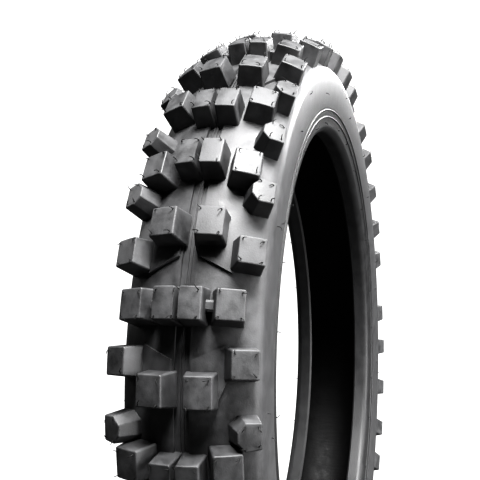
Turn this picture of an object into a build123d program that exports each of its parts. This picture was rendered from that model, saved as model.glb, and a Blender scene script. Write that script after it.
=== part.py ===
from build123d import *
import os
from math import asin, atan2, cos, degrees, hypot, radians, sin, tan

# Off-road motorcycle tyre, unmounted, standing on its tread.
# Origin at the centre of the tyre, +Y along the axle, +Z up, millimetres.
# A meridian is one half of the cross-section: its x is the distance from the axle,
# its y is the distance from the middle plane. Every layer is a meridian outline
# mirrored to the other side and revolved about the axle.

# ---- driving dimensions: tread ----
outer_radius = 343.0  # over the centre blocks
crown_radius = 101.25  # cross-section arc over the block tops
block_height = 18.5
module_count = 7
module_angle = 360 / module_count
pattern_phase = 15.9  # height of one module's middle above the -X direction, degrees
channel_half_width = 5.7
channel_depth = 2.4
rib_inner = 0.9
rib_outer = 1.9
rib_height = 0.8
step_height = 2.4
step_middle = (19.6, 8.5)  # across the tread, angle from the module's middle
step_outline = [(7.2, 6.6), (33.0, 4.6), (34.5, 8.6), (25.0, 12.2), (7.2, 12.2)]
block_draft = 5.0
block_reach = 26.0  # half the height of the tool solids that shape the blocks
band_half_angle = 9.0  # reach of the band the blocks are cut from, round the axle
band_edge_angle = 48.0  # and across the tread

# ---- driving dimensions: casing ----
tread_thickness = 4.5
breaker_thickness = 1.2
breaker_edge_angle = 30.0
ply_thickness = 1.2
liner_thickness = 1.0
shoulder_angle = 36.0  # where the crown arc ends
shoulder_radius = 14.3
tread_edge_angle = 60.0  # joint of tread and sidewall on the shoulder

# ---- driving dimensions: bead ----
seat_radius = 241.3  # 19 inch rim
seat_inner = 31.0
seat_outer = 41.3
heel_radius = 8.0
toe_point = (244.0, 28.8)
bead_center = (250.0, 39.0)
bundle_rows = (3, 4, 3)  # wire windings in each row of the bead bundle
wire_radius = 0.75
wire_pitch = 1.75
insulation_radius = 3.6
wrap_thickness = 0.6
wrap_height = 9.0
turn_up_gap = 2.0  # between the turned-up outer ply's edge and the filler's tip
chafer_thickness = 0.6
chafer_height = 10.0
cushion_top = (266.0, 52.1)
rim_rib_radii = (256.5, 263.5)
rim_rib_half_width = 0.9
rim_rib_height = 0.8

# ---- derived casing geometry ----
crown_center = (outer_radius - crown_radius, 0.0)
base_radius = crown_radius - block_height
casing_crown = base_radius - tread_thickness - breaker_thickness
casing_shoulder = shoulder_radius - tread_thickness - breaker_thickness
wrap_radius = insulation_radius + wrap_thickness
liner_top = 2 * ply_thickness
liner_bottom = liner_top + liner_thickness
chafer_bottom = liner_top + chafer_thickness


def polar(center, radius, angle):
    """Point at an angle on a circle of the meridian, degrees from the outward radius."""
    return (center[0] + radius * cos(radians(angle)), center[1] + radius * sin(radians(angle)))


shoulder_center = polar(crown_center, base_radius - shoulder_radius, shoulder_angle)
rise = shoulder_center[0] - bead_center[0]
offset_out = shoulder_center[1] - bead_center[1]
# The ply leaves the shoulder arc and meets the bead bundle in one straight run,
# a common tangent of two circles, leaning inwards by this angle.
wall_lean = degrees(
    atan2(offset_out, rise) + asin((casing_shoulder + wrap_radius) / hypot(rise, offset_out))
)
wall_normal = wall_lean - 90  # direction from the bundle's centre to the ply on the cavity side
wall_up = (cos(radians(wall_lean)), sin(radians(wall_lean)))


def wall_point(depth, height):
    """Point on the straight run inside the casing, at a height above the bead bundle."""
    foot = polar(bead_center, wrap_radius + depth, wall_normal)
    return (foot[0] + height * wall_up[0], foot[1] + height * wall_up[1])


def turn_up_point(depth, height):
    """Point on the outer side of the bead bundle, at a height above its centre."""
    return (bead_center[0] + height, bead_center[1] + wrap_radius + depth)


# The filler ends where the turned-up ply comes back to the main ply.
filler_run = (turn_up_point(0, 0)[1] - wall_point(0, 0)[1]) / wall_up[1]
filler_tip = wall_point(0, filler_run)
turn_up_outer = filler_tip[0] - bead_center[0] - turn_up_gap
turn_up_inner = cushion_top[0] - bead_center[0]


def around_bundle(depth):
    """Arc under the bead bundle from the cavity side to the outer side."""
    CenterArc(bead_center, wrap_radius + depth, 90, 180 + wall_lean)


def casing_curve(depth):
    """Meridian of the casing at a depth, from the crown to the foot of the wall."""
    CenterArc(crown_center, casing_crown - depth, 0, shoulder_angle)
    CenterArc(
        shoulder_center, casing_shoulder - depth, shoulder_angle, 90 + wall_lean - shoulder_angle
    )


def ply(top, turn_up):
    """Fabric ply running from bead to bead and turned up round both bead bundles."""
    bottom = top + ply_thickness
    with BuildPart() as layer:
        with BuildSketch():
            with BuildLine():
                for depth in (top, bottom):
                    casing_curve(depth)
                    Line(
                        polar(shoulder_center, casing_shoulder - depth, 90 + wall_lean),
                        wall_point(depth, 0),
                    )
                    around_bundle(depth)
                    Line(turn_up_point(depth, 0), turn_up_point(depth, turn_up))
                Line(turn_up_point(top, turn_up), turn_up_point(bottom, turn_up))
                Line(
                    polar(crown_center, casing_crown - top, 0),
                    polar(crown_center, casing_crown - bottom, 0),
                )
            make_face()
            mirror(about=Plane.XZ)
        revolve(axis=Axis.Y)
    return layer.part


def write(shape, name):
    shape.label = name
    export_step(shape, f"parts/{name}.step")


def write_pair(left_shape, name):
    """Write a left-hand piece and its mirror image on the right."""
    with BuildPart() as opposite:
        mirror(left_shape, about=Plane.XZ)
    write(left_shape, f"{name}_left")
    write(opposite.part, f"{name}_right")


os.makedirs("parts", exist_ok=True)

# ---- casing plies ----
write(ply(0, turn_up_outer), "outer_ply")
write(ply(ply_thickness, turn_up_inner), "inner_ply")

# ---- inner liner, the rubber skin of the cavity ----
with BuildPart() as inner_liner:
    with BuildSketch():
        with BuildLine():
            for depth in (liner_top, liner_bottom):
                casing_curve(depth)
                Line(
                    polar(shoulder_center, casing_shoulder - depth, 90 + wall_lean),
                    wall_point(depth, chafer_height),
                )
            Line(wall_point(liner_top, chafer_height), wall_point(liner_bottom, chafer_height))
            Line(
                polar(crown_center, casing_crown - liner_top, 0),
                polar(crown_center, casing_crown - liner_bottom, 0),
            )
        make_face()
        mirror(about=Plane.XZ)
    revolve(axis=Axis.Y)
write(inner_liner.part, "inner_liner")

# ---- breaker under the tread ----
with BuildPart() as breaker:
    with BuildSketch():
        with BuildLine():
            CenterArc(crown_center, casing_crown, 0, breaker_edge_angle)
            CenterArc(crown_center, casing_crown + breaker_thickness, 0, breaker_edge_angle)
            for angle in (0, breaker_edge_angle):
                Line(
                    polar(crown_center, casing_crown, angle),
                    polar(crown_center, casing_crown + breaker_thickness, angle),
                )
        make_face()
        mirror(about=Plane.XZ)
    revolve(axis=Axis.Y)
write(breaker.part, "breaker")

# ---- bead wires: rows of steel windings lying in each other's hollows ----
row_rise = wire_pitch * sin(radians(60))
wire_centers = []
for row, windings in enumerate(bundle_rows):
    radius = bead_center[0] + (row - 1) * row_rise
    for place in range(windings):
        wire_centers.append((radius, bead_center[1] + (place - (windings - 1) / 2) * wire_pitch))
with BuildPart() as bead_wires:
    with BuildSketch():
        with Locations(wire_centers):
            Circle(wire_radius)
    revolve(axis=Axis.Y)
write_pair(bead_wires.part, "bead_wires")

# ---- rubber insulation round the wires ----
with BuildPart() as insulation:
    with BuildSketch():
        with Locations(bead_center):
            Circle(insulation_radius)
        with Locations(wire_centers):
            Circle(wire_radius, mode=Mode.SUBTRACT)
    revolve(axis=Axis.Y)
write_pair(insulation.part, "bead_insulation")

# ---- fabric wrap round the insulated bundle and the foot of the filler ----
with BuildPart() as bead_wrap:
    with BuildSketch():
        with BuildLine():
            for depth in (-wrap_thickness, 0):
                Line(wall_point(depth, wrap_height), wall_point(depth, 0))
                around_bundle(depth)
                Line(turn_up_point(depth, 0), turn_up_point(depth, wrap_height))
            Line(wall_point(-wrap_thickness, wrap_height), wall_point(0, wrap_height))
            Line(turn_up_point(-wrap_thickness, wrap_height), turn_up_point(0, wrap_height))
        make_face()
    revolve(axis=Axis.Y)
write_pair(bead_wrap.part, "bead_wrap")

# ---- wedge-shaped rubber filler above the bundle ----
with BuildPart() as bead_filler:
    with BuildSketch():
        with BuildLine():
            CenterArc(bead_center, insulation_radius, wall_normal, 180 - wall_lean)
            Polyline(
                turn_up_point(-wrap_thickness, 0),
                turn_up_point(-wrap_thickness, wrap_height),
                turn_up_point(0, wrap_height),
                filler_tip,
                wall_point(0, wrap_height),
                wall_point(-wrap_thickness, wrap_height),
                wall_point(-wrap_thickness, 0),
            )
        make_face()
    revolve(axis=Axis.Y)
write_pair(bead_filler.part, "bead_filler")

# ---- woven chafer strip over the turned ply ----
with BuildPart() as chafer:
    with BuildSketch():
        with BuildLine():
            for depth in (liner_top, chafer_bottom):
                Line(wall_point(depth, chafer_height), wall_point(depth, 0))
                around_bundle(depth)
                Line(turn_up_point(depth, 0), turn_up_point(depth, chafer_height))
            Line(wall_point(liner_top, chafer_height), wall_point(chafer_bottom, chafer_height))
            Line(
                turn_up_point(liner_top, chafer_height), turn_up_point(chafer_bottom, chafer_height)
            )
        make_face()
    revolve(axis=Axis.Y)
write_pair(chafer.part, "chafer")

# ---- rim cushion: toe, seat, heel and flange face ----
heel_center = (seat_radius + heel_radius, seat_outer)
flange_foot = (heel_center[0], seat_outer + heel_radius)
flange_slope = (cushion_top[1] - flange_foot[1]) / (cushion_top[0] - flange_foot[0])


def flange_point(radius, stand_out=0.0):
    """Point on the flange face of the bead at a distance from the axle."""
    return (radius, flange_foot[1] + flange_slope * (radius - flange_foot[0]) + stand_out)


with BuildPart() as rim_cushion:
    with BuildSketch():
        with BuildLine():
            Polyline(
                turn_up_point(liner_top, turn_up_inner),
                turn_up_point(liner_top, chafer_height),
                turn_up_point(chafer_bottom, chafer_height),
                turn_up_point(chafer_bottom, 0),
            )
            around_bundle(chafer_bottom)
            Polyline(
                wall_point(chafer_bottom, 0),
                wall_point(chafer_bottom, chafer_height),
                wall_point(liner_bottom, chafer_height),
                wall_point(liner_bottom, 0),
                toe_point,
                (seat_radius, seat_inner),
                (seat_radius, seat_outer),
            )
            CenterArc(heel_center, heel_radius, 90, 90)
            edge = flange_foot
            for radius in rim_rib_radii:
                rib_foot = flange_point(radius - rim_rib_half_width)
                rib_end = flange_point(radius + rim_rib_half_width)
                Line(edge, rib_foot)
                ThreePointArc(rib_foot, flange_point(radius, rim_rib_height), rib_end)
                edge = rib_end
            Polyline(edge, cushion_top, turn_up_point(liner_top, turn_up_inner))
        make_face()
    revolve(axis=Axis.Y)
write_pair(rim_cushion.part, "rim_cushion")

# ---- sidewall rubber from the rim cushion to the shoulder ----
widest_point = polar(shoulder_center, shoulder_radius, 90)
with BuildPart() as sidewall:
    with BuildSketch():
        with BuildLine():
            CenterArc(
                shoulder_center, casing_shoulder, tread_edge_angle, 90 + wall_lean - tread_edge_angle
            )
            Polyline(
                polar(shoulder_center, casing_shoulder, 90 + wall_lean),
                filler_tip,
                turn_up_point(0, turn_up_outer),
                turn_up_point(ply_thickness, turn_up_outer),
                turn_up_point(ply_thickness, turn_up_inner),
                cushion_top,
            )
            TangentArc(widest_point, cushion_top, tangent=(-1, 0))
            CenterArc(shoulder_center, shoulder_radius, tread_edge_angle, 90 - tread_edge_angle)
            Line(
                polar(shoulder_center, casing_shoulder, tread_edge_angle),
                polar(shoulder_center, shoulder_radius, tread_edge_angle),
            )
        make_face()
    revolve(axis=Axis.Y)
write_pair(sidewall.part, "sidewall")

# ---- tread base with its centre channel and two moulded ribs ----
floor_radius = base_radius - channel_depth
channel_steps = [
    (0, floor_radius),
    (rib_inner, floor_radius + rib_height),
    (rib_outer, floor_radius),
    (channel_half_width, base_radius),
]


def arc_angle(distance, radius):
    """Angle of a point at a distance from the middle plane, on an arc about the crown centre."""
    return degrees(asin(distance / radius))


with BuildPart() as tread_base:
    with BuildSketch():
        with BuildLine():
            step_angles = [arc_angle(distance, floor_radius) for distance, _ in channel_steps]
            step_angles.append(shoulder_angle)
            for place, (_, radius) in enumerate(channel_steps):
                start, end = step_angles[place], step_angles[place + 1]
                CenterArc(crown_center, radius, start, end - start)
                if place + 1 < len(channel_steps):
                    Line(
                        polar(crown_center, radius, end),
                        polar(crown_center, channel_steps[place + 1][1], end),
                    )
            shoulder_sweep = tread_edge_angle - shoulder_angle
            CenterArc(shoulder_center, shoulder_radius, shoulder_angle, shoulder_sweep)
            Line(
                polar(shoulder_center, casing_shoulder, tread_edge_angle),
                polar(shoulder_center, shoulder_radius, tread_edge_angle),
            )
            CenterArc(shoulder_center, casing_shoulder, shoulder_angle, shoulder_sweep)
            CenterArc(
                crown_center, casing_crown, breaker_edge_angle, shoulder_angle - breaker_edge_angle
            )
            Line(
                polar(crown_center, casing_crown, breaker_edge_angle),
                polar(crown_center, casing_crown + breaker_thickness, breaker_edge_angle),
            )
            CenterArc(crown_center, casing_crown + breaker_thickness, 0, breaker_edge_angle)
            Line(
                polar(crown_center, casing_crown + breaker_thickness, 0),
                polar(crown_center, floor_radius, 0),
            )
        make_face()
        mirror(about=Plane.XZ)
    revolve(axis=Axis.Y)
write(tread_base.part, "tread_base")

# ---- tread blocks ----
# Each kind of block is made once where the tread faces +X, then turned about the axle.
# "across" is measured along the crown arc from the middle plane.
module_angles = [180 + pattern_phase + place * module_angle for place in range(module_count)]
draft_gain = tan(radians(block_draft))


def crown_plane(across):
    """Plane on the crown arc, its x axis across the tread and its z axis pointing out."""
    angle = degrees(across / crown_radius)
    point = polar(crown_center, crown_radius, angle)
    outward = (cos(radians(angle)), sin(radians(angle)), 0)
    sideways = (-outward[1], outward[0], 0)
    return Plane(origin=(point[0], point[1], 0), x_dir=sideways, z_dir=outward)


def tread_band(top_radius):
    """Sector of the space between the tread base and an arc about the crown centre."""
    with BuildPart() as band:
        with BuildSketch(Plane.XY.rotated((0, -band_half_angle, 0))):
            with BuildLine():
                for place, (_, radius) in enumerate(channel_steps):
                    start, end = step_angles[place], step_angles[place + 1]
                    CenterArc(crown_center, radius, start, end - start)
                    if place + 1 < len(channel_steps):
                        Line(
                            polar(crown_center, radius, end),
                            polar(crown_center, channel_steps[place + 1][1], end),
                        )
                CenterArc(shoulder_center, shoulder_radius, shoulder_angle, shoulder_sweep)
                Polyline(
                    polar(shoulder_center, shoulder_radius, tread_edge_angle),
                    polar(crown_center, top_radius, band_edge_angle),
                )
                CenterArc(crown_center, top_radius, 0, band_edge_angle)
                Line(
                    polar(crown_center, floor_radius, 0), polar(crown_center, top_radius, 0)
                )
            make_face()
        revolve(axis=Axis.Y, revolution_arc=2 * band_half_angle)
    return band.part


block_band = tread_band(crown_radius)
step_band = tread_band(base_radius + step_height)


def rectangle(width, length, inner_draft=1.0):
    """Top outline of a four-sided block as a function of how far its walls have spread."""

    def outline(spread):
        inner = -width / 2 - spread * inner_draft
        outer = width / 2 + spread
        end = length / 2 + spread
        return [(inner, -end), (outer, -end), (outer, end), (inner, end)]

    return outline


def pointed(width, length):
    """Top outline of a shoulder block that narrows towards the middle of the tread."""

    def outline(spread):
        tip = -width / 2 - spread
        knee = -width / 6
        outer = width / 2 + spread
        tip_end = length * 0.2 + spread
        knee_end = length / 2 + spread
        outer_end = length * 0.46 + spread
        return [
            (tip, -tip_end),
            (knee, -knee_end),
            (outer, -outer_end),
            (outer, outer_end),
            (knee, knee_end),
            (tip, tip_end),
        ]

    return outline


def drafted_tool(outline, across):
    """Solid whose walls lean outwards towards the tread base, below a top outline."""
    plane = crown_plane(across)
    with BuildPart() as tool:
        for level in (-block_reach, block_reach / 4):
            with BuildSketch(plane.offset(level)):
                with BuildLine():
                    Polyline(*outline(-level * draft_gain), close=True)
                make_face()
        loft(ruled=True)
    return tool.part


def block(tool):
    """Block cut from its tool by the crown arc and the tread base."""
    with BuildPart() as piece:
        add(tool)
        add(block_band, mode=Mode.INTERSECT)
    return piece.part


def turned(shape, angle):
    """Copy of a shape turned about the axle."""
    return Rotation(0, angle, 0) * shape


def around_tyre(shape, offsets):
    """Copies of a block at the same places in every module."""
    with BuildPart() as ring:
        for offset in offsets:
            for module in module_angles:
                add(turned(shape, module + offset))
    return ring.part


# name: top outline, distance across to its centre, angles from the module's middle
block_kinds = {
    "narrow_centre_blocks": (rectangle(16.4, 24.0, inner_draft=0.0), 10.3, (-20.6, 0, 20.6)),
    "wide_centre_blocks": (rectangle(20.6, 23.0), 18.4, (-10.3, 10.3)),
    "intermediate_blocks": (rectangle(21.0, 22.6), 39.0, (-19.4, 0, 19.4)),
    "square_shoulder_blocks": (rectangle(20.6, 20.6), 51.4, (-7.0, 7.0)),
    "pointed_shoulder_blocks": (pointed(18.0, 20.0), 54.5, (-15.5, 15.5, module_angle / 2)),
}
tools = {}
for name, (outline, across, offsets) in block_kinds.items():
    tools[name] = drafted_tool(outline, across)
    write_pair(around_tyre(block(tools[name]), offsets), name)

# ---- raised steps that carry the wide centre blocks and the square shoulder blocks ----
step_across, step_angle = step_middle
arc_per_degree = radians(1) * (crown_center[0] + base_radius)
step_plane = crown_plane(step_across * crown_radius / base_radius).offset(-block_height)
with BuildPart() as step:
    with BuildSketch(step_plane):
        with BuildLine():
            Polyline(
                *[
                    (across - step_across, (step_angle - angle) * arc_per_degree)
                    for across, angle in step_outline
                ],
                close=True,
            )
        make_face()
    extrude(amount=block_reach / 2, both=True)
    add(step_band, mode=Mode.INTERSECT)
    for name in ("wide_centre_blocks", "square_shoulder_blocks"):
        neighbour_angle = block_kinds[name][2][-1]
        add(turned(tools[name], neighbour_angle - step_angle), mode=Mode.SUBTRACT)
with BuildPart() as tread_steps:
    for module in module_angles:
        add(turned(step.part, module + step_angle))
        mirrored = mirror(step.part, about=Plane.XY, mode=Mode.PRIVATE)
        add(turned(mirrored, module - step_angle))
write_pair(tread_steps.part, "tread_steps")
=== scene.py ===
import random
from math import asin, atan2, cos, degrees, hypot, pi, radians, sin, sqrt, tan

import bpy
from mathutils import Matrix, Vector


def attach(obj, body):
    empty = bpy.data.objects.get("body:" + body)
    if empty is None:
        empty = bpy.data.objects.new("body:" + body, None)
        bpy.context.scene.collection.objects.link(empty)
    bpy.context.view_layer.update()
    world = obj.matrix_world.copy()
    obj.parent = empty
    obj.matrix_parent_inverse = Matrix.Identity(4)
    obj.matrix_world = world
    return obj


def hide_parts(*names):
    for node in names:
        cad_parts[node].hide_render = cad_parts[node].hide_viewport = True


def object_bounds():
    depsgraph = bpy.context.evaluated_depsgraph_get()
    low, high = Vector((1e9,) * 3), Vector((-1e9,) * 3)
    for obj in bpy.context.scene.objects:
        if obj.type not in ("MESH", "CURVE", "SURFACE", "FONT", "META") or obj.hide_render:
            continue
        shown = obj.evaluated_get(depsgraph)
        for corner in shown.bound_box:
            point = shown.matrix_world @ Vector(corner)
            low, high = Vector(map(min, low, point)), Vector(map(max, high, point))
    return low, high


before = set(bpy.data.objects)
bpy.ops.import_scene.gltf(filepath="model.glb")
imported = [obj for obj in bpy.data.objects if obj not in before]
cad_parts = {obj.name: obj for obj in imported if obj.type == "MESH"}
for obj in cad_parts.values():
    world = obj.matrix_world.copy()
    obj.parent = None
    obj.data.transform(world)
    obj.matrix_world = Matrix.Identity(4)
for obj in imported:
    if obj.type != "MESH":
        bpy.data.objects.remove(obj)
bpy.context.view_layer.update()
MM = 0.001

# ---- sizes of the tread, in metres ----
OUTER_RADIUS = 343.0 * MM
CROWN_RADIUS = 101.25 * MM
BLOCK_HEIGHT = 18.5 * MM
MODULES = 7
MODULE_ANGLE = 360 / MODULES
PATTERN_PHASE = 15.9
CROWN_CENTER = OUTER_RADIUS - CROWN_RADIUS
SHOULDER_ANGLE = 36.0
SHOULDER_RADIUS = 14.3 * MM
STEP_HEIGHT = 2.4 * MM
DRAFT = tan(radians(5))
EDGE_CUTS = 6  # straight edges of a block are divided to follow the curve of the tread
CAP_RINGS = (0.97, 0.8, 0.6, 0.4, 0.2)  # a block's top, from its edge to its middle
EDGE_STEPS = 4  # rings round a block's top edge
CHANNEL_DEPTH = 2.4 * MM
BLOCK_HAIRS = 4
BLOCK_HAIR_INSET = 2.6 * MM  # from the edges of the block's top
BLOCK_HAIR_LENGTH = (3.8 * MM, 6.0 * MM)
BLOCK_HAIR_RADIUS = 0.46 * MM
SUNK = 0.4 * MM  # how far a block's foot goes into the tread base
random.seed(7)


def join_mesh(name, verts, faces, material, sharp=35):
    """New object, smooth apart from its sharp edges; faces run clockwise seen from outside."""
    mesh = bpy.data.meshes.new(name)
    mesh.from_pydata(verts, [], [tuple(reversed(face)) for face in faces])
    mesh.validate()
    mesh.materials.append(material)
    mesh.shade_smooth()
    mesh.set_sharp_from_angle(angle=radians(sharp))
    piece = bpy.data.objects.new(name, mesh)
    bpy.context.scene.collection.objects.link(piece)
    flat_faces = piece.modifiers.new("flat_faces", "WEIGHTED_NORMAL")
    flat_faces.keep_sharp = True
    return piece


# ---- materials ----
def rubber(name, color, roughness, grain, grain_size,
           mottling=0.35, specular=0.5, stretch=(1, 1, 1)):
    """Moulded rubber: fine grain, cloudy bloom on the surface and uneven gloss."""
    material = bpy.data.materials.new(name)
    material.use_nodes = True
    nodes, links = material.node_tree.nodes, material.node_tree.links
    shader = nodes["Principled BSDF"]
    shader.inputs["Specular IOR Level"].default_value = specular
    place = nodes.new("ShaderNodeTexCoord")
    cloud = nodes.new("ShaderNodeTexNoise")
    cloud.inputs["Scale"].default_value = 75
    cloud.inputs["Detail"].default_value = 6
    cloud.inputs["Roughness"].default_value = 0.62
    fine = nodes.new("ShaderNodeTexNoise")
    fine.inputs["Scale"].default_value = grain_size
    fine.inputs["Detail"].default_value = 4
    spread = nodes.new("ShaderNodeMapping")
    spread.inputs["Scale"].default_value = stretch
    links.new(place.outputs["Object"], spread.inputs["Vector"])
    links.new(place.outputs["Object"], cloud.inputs["Vector"])
    links.new(spread.outputs["Vector"], fine.inputs["Vector"])
    tint = nodes.new("ShaderNodeValToRGB")
    tint.color_ramp.elements[0].position = 0.35
    tint.color_ramp.elements[1].position = 0.72
    dark = tuple(c * (1 - mottling) for c in color)
    light = tuple(c * (1 + mottling) for c in color)
    tint.color_ramp.elements[0].color = (*dark, 1)
    tint.color_ramp.elements[1].color = (*light, 1)
    links.new(cloud.outputs["Fac"], tint.inputs["Fac"])
    links.new(tint.outputs["Color"], shader.inputs["Base Color"])
    gloss = nodes.new("ShaderNodeMapRange")
    gloss.inputs["From Min"].default_value = 0.3
    gloss.inputs["From Max"].default_value = 0.7
    gloss.inputs["To Min"].default_value = roughness - 0.2 * mottling
    gloss.inputs["To Max"].default_value = roughness + 0.28 * mottling
    links.new(cloud.outputs["Fac"], gloss.inputs["Value"])
    links.new(gloss.outputs["Result"], shader.inputs["Roughness"])
    bump = nodes.new("ShaderNodeBump")
    bump.inputs["Strength"].default_value = grain
    bump.inputs["Distance"].default_value = 0.4 * MM
    links.new(fine.outputs["Fac"], bump.inputs["Height"])
    links.new(bump.outputs["Normal"], shader.inputs["Normal"])
    return material


tread_rubber = rubber("tread_rubber", (0.035, 0.035, 0.036), 0.56, 0.3, 900, 0.5)
sidewall_rubber = rubber("sidewall_rubber", (0.04, 0.04, 0.041), 0.46, 0.12, 1200, 0.2)
bead_rubber = rubber("bead_rubber", (0.018, 0.018, 0.0185), 0.48, 0.15, 1200, 0.25, 0.35)
liner_rubber = rubber("liner_rubber", (0.0035, 0.0035, 0.0036), 0.5, 0.5, 320, 0.4, 0.1, (1, 0.06, 1))
# spew hairs: the tread's own rubber with painted shade, its colour made about six times darker than the
# tread so the hairs look shadowed
hair_rubber_painted_shade = rubber("hair_rubber_painted_shade", (0.006, 0.006, 0.006), 0.6, 0.1, 2000, 0.3, 0.2)
ply_fabric = rubber("ply_fabric", (0.13, 0.1, 0.07), 0.8, 0.6, 1500)
bead_wire = rubber("bead_wire", (0.5, 0.4, 0.25), 0.35, 0.2, 900)
bead_wire.node_tree.nodes["Principled BSDF"].inputs["Metallic"].default_value = 1.0


# ---- tread blocks ----
def on_tread(across, along, height, angle):
    """Point on the tread: across the crown arc, along the circumference, above the block tops."""
    arc = CROWN_RADIUS + height
    lean = across / arc
    radius = CROWN_CENTER + arc * cos(lean)
    turn = radians(angle) + along / radius
    return (-radius * cos(turn), arc * sin(lean), radius * sin(turn))


def rounded(corners, radius, steps=4):
    """Outline of a convex polygon with its corners rounded."""
    outline = []
    count = len(corners)
    for place, corner in enumerate(corners):
        corner = Vector(corner)
        before = (Vector(corners[place - 1]) - corner).normalized()
        after = (Vector(corners[(place + 1) % count]) - corner).normalized()
        half = before.angle(after) / 2
        reach = radius / tan(half)
        center = corner + (before + after).normalized() * (radius / sin(half))
        start = corner + before * reach - center
        end = corner + after * reach - center
        for step in range(steps + 1):
            mixed = start.lerp(end, step / steps).normalized() * radius
            outline.append(center + mixed)
    divided = []
    for place, point in enumerate(outline):
        divided.append(point)
        if place % (steps + 1) == steps:
            following = outline[(place + 1) % len(outline)]
            divided.extend(point.lerp(following, cut / EDGE_CUTS) for cut in range(1, EDGE_CUTS))
    return divided


def block_mesh(corners_at, across, angle, side,
               top=0.0, edge=1.0 * MM, corner=1.5 * MM, foot=SUNK):
    """Vertices and faces of one block; side is +1 on the left and -1 on the right."""
    rings = []
    depth_steps = [BLOCK_HEIGHT + foot, (BLOCK_HEIGHT + top) / 2, edge + top]
    for depth in depth_steps:
        rings.append((rounded(corners_at(depth * DRAFT), corner), depth))
    for step in range(1, EDGE_STEPS + 1):
        turn = radians(90 * step / EDGE_STEPS)
        inset = edge * (1 - cos(turn))
        outline = rounded(corners_at(edge * DRAFT - inset), max(corner - inset, 0.3 * MM))
        rings.append((outline, top + edge * (1 - sin(turn))))
    cap_outline = rings[-1][0]
    middle = sum(cap_outline, Vector((0, 0))) / len(cap_outline)
    for scale in CAP_RINGS:
        rings.append(([middle + (p - middle) * scale for p in cap_outline], top))
    verts = []
    for outline, depth in rings:
        arc = CROWN_RADIUS - depth
        center_across = across * arc / CROWN_RADIUS
        for point in outline:
            x, y, z = on_tread(center_across + point.x, point.y, -depth, angle)
            verts.append((x, side * y, z))
    size = len(cap_outline)
    faces = []
    for ring in range(len(rings) - 1):
        for place in range(size):
            a = ring * size + place
            b = ring * size + (place + 1) % size
            faces.append((a, b, b + size, a + size))
    x, y, z = on_tread(across + middle.x, middle.y, -top, angle)
    verts.append((x, side * y, z))
    last = (len(rings) - 1) * size
    for place in range(size):
        faces.append((last + place, last + (place + 1) % size, len(verts) - 1))
    faces.append(tuple(range(size - 1, -1, -1)))
    if side < 0:
        faces = [tuple(reversed(face)) for face in faces]
    return verts, faces


def rectangle(width, length, inner_draft=1.0):
    def corners(spread):
        inner = (-width / 2) * MM - spread * inner_draft
        outer = (width / 2) * MM + spread
        end = (length / 2) * MM + spread
        return [(inner, -end), (outer, -end), (outer, end), (inner, end)]
    return corners


def pointed(width, length):
    def corners(spread):
        tip = -width / 2 * MM - spread
        knee = -width / 6 * MM
        outer = width / 2 * MM + spread
        tip_end = length * 0.2 * MM + spread
        knee_end = length / 2 * MM + spread
        outer_end = length * 0.46 * MM + spread
        return [(tip, -tip_end), (knee, -knee_end), (outer, -outer_end),
                (outer, outer_end), (knee, knee_end), (tip, tip_end)]
    return corners


BLOCK_KINDS = {
    "narrow_centre_blocks": (rectangle(16.4, 24.0, inner_draft=0.0), 10.3, (-20.6, 0, 20.6)),
    "wide_centre_blocks": (rectangle(20.6, 23.0), 18.4, (-10.3, 10.3)),
    "intermediate_blocks": (rectangle(21.0, 22.6), 39.0, (-19.4, 0, 19.4)),
    "square_shoulder_blocks": (rectangle(20.6, 20.6), 51.4, (-7.0, 7.0)),
    "pointed_shoulder_blocks": (pointed(18.0, 20.0), 54.5, (-15.5, 15.5, MODULE_ANGLE / 2)),
}
SIDES = {"left": 1, "right": -1}

# low web between a narrow centre block and its neighbour in a module's middle row
TIE_WEB = rectangle(11.0, 6.5)
TIE_WEB_ACROSS = 23.5 * MM
TIE_WEB_DROP = 9.5 * MM


HAIR_SIDES, HAIR_STEPS = 6, 5
HAIR_BEND = (1.6, 2.4)  # radians from foot to tip
HAIR_TAPER = 0.45
HAIR_SUNK = 0.3 * MM


def hair_mesh(base, normal, length, thickness):
    """A moulding hair: a thin tapered stalk that curls over."""
    lean = Vector((random.uniform(-1, 1), random.uniform(-1, 1), random.uniform(-1, 1)))
    lean = (lean - normal * lean.dot(normal)).normalized()
    across = normal.cross(lean)
    verts, faces = [], []
    sides, steps = HAIR_SIDES, HAIR_STEPS
    point = Vector(base) - normal * HAIR_SUNK
    bend = random.uniform(*HAIR_BEND)
    for step in range(steps + 1):
        share = step / steps
        heading = normal * cos(bend * share) + lean * sin(bend * share)
        flat = heading.cross(across).normalized()
        radius = thickness * (1 - HAIR_TAPER * share)
        for place in range(sides):
            turn = 2 * pi * place / sides
            verts.append(point + (flat * cos(turn) + across * sin(turn)) * radius)
        point = point + heading * length / steps
    for step in range(steps):
        for place in range(sides):
            a = step * sides + place
            b = step * sides + (place + 1) % sides
            faces.append((a, b, b + sides, a + sides))
    faces.append(tuple(range(sides - 1, -1, -1)))
    faces.append(tuple(range(steps * sides, (steps + 1) * sides)))
    return [tuple(v) for v in verts], faces


def extend(store, verts, faces):
    first = len(store[0])
    store[0].extend(verts)
    store[1].extend(tuple(first + index for index in face) for face in faces)


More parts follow.
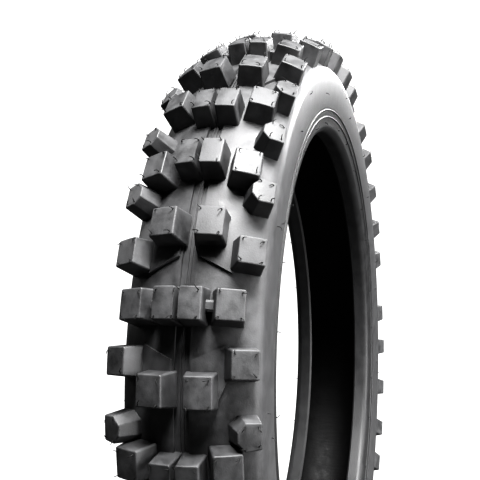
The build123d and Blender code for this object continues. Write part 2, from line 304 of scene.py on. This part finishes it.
hairs = ([], [])
for name, (corners_at, across, offsets) in BLOCK_KINDS.items():
    for side_name, side in SIDES.items():
        store = ([], [])
        for module in range(MODULES):
            for offset in offsets:
                angle = PATTERN_PHASE + module * MODULE_ANGLE + offset
                foot = SUNK + CHANNEL_DEPTH if name == "narrow_centre_blocks" else SUNK
                extend(store, *block_mesh(corners_at, across * MM, angle, side, foot=foot))
                if name == "intermediate_blocks" and offset == 0:
                    extend(store, *block_mesh(TIE_WEB, TIE_WEB_ACROSS, angle, side,
                                              top=TIE_WEB_DROP, edge=0.8 * MM))
                hair_places = corners_at(-BLOCK_HAIR_INSET)
                if len(hair_places) > BLOCK_HAIRS:
                    hair_places = hair_places[1:1 + BLOCK_HAIRS]
                for x, y in hair_places:
                    px, py, pz = on_tread(across * MM + x, y, 0, angle)
                    base = Vector((px, side * py, pz))
                    ox, oy, oz = on_tread(across * MM + x, y, 5 * MM, angle)
                    normal = (Vector((ox, side * oy, oz)) - base).normalized()
                    length = random.uniform(*BLOCK_HAIR_LENGTH)
                    extend(hairs, *hair_mesh(base, normal, length, BLOCK_HAIR_RADIUS))
        blocks = join_mesh(f"{name}_{side_name}_moulded", *store, tread_rubber)
        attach(blocks, "root")
        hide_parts(f"{name}_{side_name}")

# ---- raised steps ----
STEP_OUTLINE = [(7.2, 6.6), (33.0, 4.6), (34.5, 8.6), (25.0, 12.2), (7.2, 12.2)]
STEP_ANGLE, STEP_ACROSS = 8.5, 19.6
BASE_RADIUS = CROWN_RADIUS - BLOCK_HEIGHT
ARC_PER_DEGREE = radians(1) * (CROWN_CENTER + BASE_RADIUS)


def step_corners(way):
    points = [
        ((across - STEP_ACROSS) * MM, way * (angle - STEP_ANGLE) * ARC_PER_DEGREE)
        for across, angle in STEP_OUTLINE
    ]
    if way < 0:
        points.reverse()
    return lambda spread: list(points)  # a step's walls aren't drafted


STEP_ARC = STEP_ACROSS * MM * CROWN_RADIUS / BASE_RADIUS
STEP_TOP = BLOCK_HEIGHT - STEP_HEIGHT
for side_name, side in SIDES.items():
    store = ([], [])
    for module in range(MODULES):
        for way in (1, -1):
            angle = PATTERN_PHASE + module * MODULE_ANGLE + way * STEP_ANGLE
            extend(store, *block_mesh(step_corners(way), STEP_ARC, angle, side,
                                      top=STEP_TOP, edge=0.5 * MM, corner=0.8 * MM))
    steps = join_mesh(f"tread_steps_{side_name}_moulded", *store, tread_rubber)
    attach(steps, "root")
    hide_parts(f"tread_steps_{side_name}")

# ---- lathe-turned rubber: the same outlines as the casing, finely divided ----
TREAD_THICKNESS = 4.5 * MM
BREAKER_THICKNESS = 1.2 * MM
BREAKER_EDGE = 30.0
PLY = 1.2 * MM
LINER = 1.0 * MM
TREAD_EDGE = 60.0
SEAT_RADIUS = 241.3 * MM
SEAT_INNER, SEAT_OUTER = 31.0 * MM, 41.3 * MM
HEEL_RADIUS = 8.0 * MM
TOE = (244.0 * MM, 28.8 * MM)
BEAD = (250.0 * MM, 39.0 * MM)
WRAP_RADIUS = 4.2 * MM
CHAFER = 0.6 * MM
CHAFER_HEIGHT = 10.0 * MM
CUSHION_TOP = (266.0 * MM, 52.1 * MM)
TURN_UP_GAP = 2.0 * MM
RIM_RIBS = (256.5 * MM, 263.5 * MM)
RIB_HALF_WIDTH, RIB_HEIGHT = 0.9 * MM, 0.8 * MM
CASING_CROWN = BASE_RADIUS - TREAD_THICKNESS - BREAKER_THICKNESS
CASING_SHOULDER = SHOULDER_RADIUS - TREAD_THICKNESS - BREAKER_THICKNESS
LINER_TOP = 2 * PLY
LINER_BOTTOM = LINER_TOP + LINER
CHAFER_BOTTOM = LINER_TOP + CHAFER
CROWN = (CROWN_CENTER, 0)


def polar(center, radius, angle):
    return (center[0] + radius * cos(radians(angle)), center[1] + radius * sin(radians(angle)))


def arc(center, radius, start, end, steps):
    return [polar(center, radius, start + (end - start) * step / steps) for step in range(steps + 1)]


SHOULDER = polar(CROWN, BASE_RADIUS - SHOULDER_RADIUS, SHOULDER_ANGLE)
RISE, OUT = SHOULDER[0] - BEAD[0], SHOULDER[1] - BEAD[1]
WALL_LEAN = degrees(atan2(OUT, RISE) + asin((CASING_SHOULDER + WRAP_RADIUS) / hypot(RISE, OUT)))
WALL_UP = (cos(radians(WALL_LEAN)), sin(radians(WALL_LEAN)))


def wall_point(depth, height):
    foot = polar(BEAD, WRAP_RADIUS + depth, WALL_LEAN - 90)
    return (foot[0] + height * WALL_UP[0], foot[1] + height * WALL_UP[1])


def turn_up_point(depth, height):
    return (BEAD[0] + height, BEAD[1] + WRAP_RADIUS + depth)


FILLER_RUN = (turn_up_point(0, 0)[1] - wall_point(0, 0)[1]) / WALL_UP[1]
FILLER_TIP = wall_point(0, FILLER_RUN)
TURN_UP = CUSHION_TOP[0] - BEAD[0]
HEEL = (SEAT_RADIUS + HEEL_RADIUS, SEAT_OUTER)
FLANGE_FOOT = (HEEL[0], SEAT_OUTER + HEEL_RADIUS)
FLANGE_SLOPE = (CUSHION_TOP[1] - FLANGE_FOOT[1]) / (CUSHION_TOP[0] - FLANGE_FOOT[0])


def flange_point(radius, stand_out=0.0):
    return (radius, FLANGE_FOOT[1] + FLANGE_SLOPE * (radius - FLANGE_FOOT[0]) + stand_out)


def lathe(name, outline, material, side=1, segments=540, sharp=30):
    """Ring turned about the axle from a closed outline of (radius, distance from the middle)."""
    verts, faces = [], []
    count = len(outline)
    for segment in range(segments):
        turn = 2 * pi * segment / segments
        verts.extend((-r * cos(turn), side * y, r * sin(turn)) for r, y in outline)
    for segment in range(segments):
        a = segment * count
        b = (segment + 1) % segments * count
        for place in range(count):
            after = (place + 1) % count
            face = (a + place, a + after, b + after, b + place)
            faces.append(face if side > 0 else tuple(reversed(face)))
    return join_mesh(name, verts, faces, material, sharp)


def clean(outline):
    """Outline without repeated points, turning the same way round for every ring."""
    kept = []
    for point in outline:
        if not kept or hypot(point[0] - kept[-1][0], point[1] - kept[-1][1]) > 1e-7:
            kept.append(point)
    if hypot(kept[0][0] - kept[-1][0], kept[0][1] - kept[-1][1]) < 1e-7:
        kept.pop()
    area = sum(a[0] * b[1] - b[0] * a[1] for a, b in zip(kept, kept[1:] + kept[:1]))
    return kept if area > 0 else kept[::-1]


def line(start, end, steps):
    points = []
    for step in range(steps + 1):
        along = [a + (b - a) * step / steps for a, b in zip(start, end)]
        points.append(tuple(along))
    return points


cushion_outline = [turn_up_point(LINER_TOP, TURN_UP), turn_up_point(LINER_TOP, CHAFER_HEIGHT),
                   turn_up_point(CHAFER_BOTTOM, CHAFER_HEIGHT)]
cushion_outline += arc(BEAD, WRAP_RADIUS + CHAFER_BOTTOM, 90, 270 + WALL_LEAN, 24)
cushion_outline += [wall_point(CHAFER_BOTTOM, CHAFER_HEIGHT),
                    wall_point(LINER_BOTTOM, CHAFER_HEIGHT), wall_point(LINER_BOTTOM, 0)]
cushion_outline += [(TOE[0] + 0.3 * MM, TOE[1] + 0.1 * MM), (TOE[0] - 0.5 * MM, TOE[1] + 0.25 * MM)]
cushion_outline += line((SEAT_RADIUS, SEAT_INNER), (SEAT_RADIUS, SEAT_OUTER), 4)
cushion_outline += arc(HEEL, HEEL_RADIUS, 180, 90, 10)
RIB_PROFILE = ((-1, 0), (-0.6, 0.7), (0, 1), (0.6, 0.7), (1, 0))  # shares of half width and height
for radius in RIM_RIBS:
    cushion_outline += [flange_point(radius + RIB_HALF_WIDTH * across, RIB_HEIGHT * up)
                        for across, up in RIB_PROFILE]
cushion_outline += [CUSHION_TOP]

WIDEST = polar(SHOULDER, SHOULDER_RADIUS, 90)
WALL_DROP = WIDEST[0] - CUSHION_TOP[0]
WALL_IN = WIDEST[1] - CUSHION_TOP[1]
WALL_RADIUS = (WALL_DROP ** 2 + WALL_IN ** 2) / (2 * WALL_IN)
WALL_CENTER = (WIDEST[0], WIDEST[1] - WALL_RADIUS)
WALL_SWEEP = degrees(asin(WALL_DROP / WALL_RADIUS))
wall_outline = arc(SHOULDER, CASING_SHOULDER, TREAD_EDGE, 90 + WALL_LEAN, 12)
wall_outline += [FILLER_TIP, turn_up_point(PLY, FILLER_TIP[0] - BEAD[0] - TURN_UP_GAP),
                 turn_up_point(PLY, TURN_UP)]
wall_outline += line(turn_up_point(PLY, TURN_UP), CUSHION_TOP, 2)
wall_outline += arc(WALL_CENTER, WALL_RADIUS, 90 + WALL_SWEEP, 90, 14)
wall_outline += arc(SHOULDER, SHOULDER_RADIUS, 90, TREAD_EDGE, 10)

# moulding hairs on the sidewall and along the heel of the bead
WALL_HAIRS = ((11, 293.0 * MM), (13, 280.0 * MM), (26, 250.5 * MM))  # how many and how far out
WALL_HAIR_LENGTH = (4.0 * MM, 6.5 * MM)
WALL_HAIR_RADIUS = 0.38 * MM
UNEVEN = 0.15  # share of the spacing that a hair may be off its place
for side in SIDES.values():
    for count, radius in WALL_HAIRS:
        if radius > CUSHION_TOP[0]:
            stand_out = WALL_CENTER[1] + sqrt(WALL_RADIUS ** 2 - (radius - WALL_CENTER[0]) ** 2)
        else:
            stand_out = FLANGE_FOOT[1]
        for place in range(count):
            turn = 2 * pi * (place + random.uniform(-UNEVEN, UNEVEN)) / count
            base = Vector((-radius * cos(turn), side * stand_out, radius * sin(turn)))
            length = random.uniform(*WALL_HAIR_LENGTH)
            extend(hairs, *hair_mesh(base, Vector((0, side, 0)), length, WALL_HAIR_RADIUS))
spews = join_mesh("vent_spews", *hairs, hair_rubber_painted_shade)
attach(spews, "root")

FLOOR_RADIUS = BASE_RADIUS - CHANNEL_DEPTH
STEPS = [(0, FLOOR_RADIUS), (0.9 * MM, FLOOR_RADIUS + 0.8 * MM),
         (1.9 * MM, FLOOR_RADIUS), (5.7 * MM, BASE_RADIUS)]
half_tread = []
for place, (distance, radius) in enumerate(STEPS):
    start = degrees(asin(distance / FLOOR_RADIUS))
    last = place + 1 == len(STEPS)
    end = SHOULDER_ANGLE if last else degrees(asin(STEPS[place + 1][0] / FLOOR_RADIUS))
    half_tread += arc(CROWN, radius, start, end, 22 if last else 3)
half_tread += arc(SHOULDER, SHOULDER_RADIUS, SHOULDER_ANGLE, TREAD_EDGE, 8)
half_tread += arc(SHOULDER, CASING_SHOULDER, TREAD_EDGE, SHOULDER_ANGLE, 8)
half_tread += arc(CROWN, CASING_CROWN, SHOULDER_ANGLE, BREAKER_EDGE, 4)
half_tread += arc(CROWN, CASING_CROWN + BREAKER_THICKNESS, BREAKER_EDGE, 0, 16)
tread_outline = half_tread + [(r, -y) for r, y in reversed(half_tread)]

half_liner = arc(CROWN, CASING_CROWN - LINER_TOP, 0, SHOULDER_ANGLE, 20)
half_liner += arc(SHOULDER, CASING_SHOULDER - LINER_TOP, SHOULDER_ANGLE, 90 + WALL_LEAN, 14)
half_liner += [wall_point(LINER_TOP, CHAFER_HEIGHT), wall_point(LINER_BOTTOM, CHAFER_HEIGHT)]
half_liner += arc(SHOULDER, CASING_SHOULDER - LINER_BOTTOM, 90 + WALL_LEAN, SHOULDER_ANGLE, 14)
half_liner += arc(CROWN, CASING_CROWN - LINER_BOTTOM, SHOULDER_ANGLE, 0, 20)
liner_outline = half_liner + [(r, -y) for r, y in reversed(half_liner)]

for side_name, side in SIDES.items():
    for outline, node, finish, slot in (
        (wall_outline, "sidewall", sidewall_rubber, "sidewall_rubber"),
        (cushion_outline, "rim_cushion", bead_rubber, "bead_rubber"),
    ):
        ring = lathe(f"{node}_{side_name}_turned", clean(outline), finish, side)
        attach(ring, "root")
        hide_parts(f"{node}_{side_name}")
for outline, node, finish, slot in (
    (tread_outline, "tread_base", tread_rubber, "tread_rubber"),
    (liner_outline, "inner_liner", liner_rubber, "liner_rubber"),
):
    ring = lathe(f"{node}_turned", clean(outline), finish)
    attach(ring, "root")
    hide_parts(node)

# ---- CAD nodes keep their shape and take a finished material ----
FINISHES = {
    "tread": tread_rubber,
    "sidewall": sidewall_rubber,
    "rim": bead_rubber,
    "inner_liner": liner_rubber,
    "bead_wires": bead_wire,
    "bead_insulation": bead_rubber,
    "bead_filler": bead_rubber,
}
for name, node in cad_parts.items():
    finish = next((m for start, m in FINISHES.items() if name.startswith(start)), ply_fabric)
    node.data.materials.clear()
    node.data.materials.append(finish)

# ---- floor, light and camera ----
scene = bpy.context.scene
scene.view_settings.view_transform = "Standard"
scene.view_settings.look = "High Contrast"


def white_to_camera(tree, other, output):
    """Shows pure white to the camera and something darker to the light that falls on the tyre."""
    nodes, links = tree.nodes, tree.links
    path = nodes.new("ShaderNodeLightPath")
    mix = nodes.new("ShaderNodeMixShader")
    white = nodes.new("ShaderNodeEmission")
    white.inputs["Color"].default_value = (1, 1, 1, 1)
    white.inputs["Strength"].default_value = 1.05
    links.new(path.outputs["Is Camera Ray"], mix.inputs["Fac"])
    links.new(other, mix.inputs[1])
    links.new(white.outputs["Emission"], mix.inputs[2])
    links.new(mix.outputs["Shader"], output.inputs["Surface"])


floor_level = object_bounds()[0][2]
floor_material = bpy.data.materials.new("floor")
floor_material.use_nodes = True
floor_shader = floor_material.node_tree.nodes["Principled BSDF"]
floor_shader.inputs["Base Color"].default_value = (0.03, 0.03, 0.03, 1)
floor_shader.inputs["Roughness"].default_value = 0.9
white_to_camera(floor_material.node_tree, floor_shader.outputs["BSDF"],
                floor_material.node_tree.nodes["Material Output"])
mesh = bpy.data.meshes.new("floor")
FLOOR_REACH = 30
floor_corners = [(x * FLOOR_REACH, y * FLOOR_REACH, floor_level)
                 for x, y in ((-1, -1), (1, -1), (1, 1), (-1, 1))]
mesh.from_pydata(floor_corners, [], [(0, 1, 2, 3)])
mesh.materials.append(floor_material)
floor = bpy.data.objects.new("floor", mesh)
scene.collection.objects.link(floor)

world = bpy.data.worlds.new("studio")
scene.world = world
world.use_nodes = True
background = world.node_tree.nodes["Background"]
background.inputs["Color"].default_value = (1, 1, 1, 1)
background.inputs["Strength"].default_value = 0.008
white_to_camera(world.node_tree, background.outputs["Background"], world.node_tree.nodes["World Output"])


def area_light(name, place, aim, size, power):
    light = bpy.data.lights.new(name, "AREA")
    light.shape = "RECTANGLE"
    light.size, light.size_y = size
    light.energy = power
    lamp = bpy.data.objects.new(name, light)
    lamp.location = place
    lamp.rotation_euler = (Vector(aim) - Vector(place)).to_track_quat("-Z", "Y").to_euler()
    scene.collection.objects.link(lamp)


area_light("top_softbox", (-0.72, -0.5, 1.8), (-0.1, 0, 0.05), (1.3, 0.7), 205)
area_light("side_softbox", (0.0, -1.8, 1.3), (0, 0, 0.1), (1.6, 1.0), 26)
area_light("rear_softbox", (1.9, -0.75, 1.15), (0, 0, 0.25), (0.9, 0.8), 65)
area_light("strip_light", (-0.6, -2.2, 0.3), (0, 0, 0), (0.25, 1.4), 70)
area_light("left_fill", (0.4, 2.2, 1.2), (0, 0, 0.05), (1.4, 1.2), 14)

# camera: position in outer radii, angles in degrees
CAMERA_PLACE = (-2.4971, -0.6144, 0.429)
CAMERA_YAW, CAMERA_PITCH, CAMERA_ROLL = 17.19, -1.12, -1.13
CAMERA_LENS = 61.38
yaw, pitch, roll = (radians(a) for a in (CAMERA_YAW, CAMERA_PITCH, CAMERA_ROLL))
forward = Vector((cos(pitch) * cos(yaw), cos(pitch) * sin(yaw), sin(pitch)))
level = Vector((sin(yaw), -cos(yaw), 0))
upright = level.cross(forward)
right = level * cos(roll) + upright * sin(roll)
up = right.cross(forward)
camera_data = bpy.data.cameras.new("camera")
camera_data.lens = CAMERA_LENS
camera = bpy.data.objects.new("camera", camera_data)
camera.matrix_world = Matrix((
    (right.x, up.x, -forward.x, CAMERA_PLACE[0] * OUTER_RADIUS),
    (right.y, up.y, -forward.y, CAMERA_PLACE[1] * OUTER_RADIUS),
    (right.z, up.z, -forward.z, CAMERA_PLACE[2] * OUTER_RADIUS),
    (0, 0, 0, 1),
))
scene.collection.objects.link(camera)
scene.camera = camera
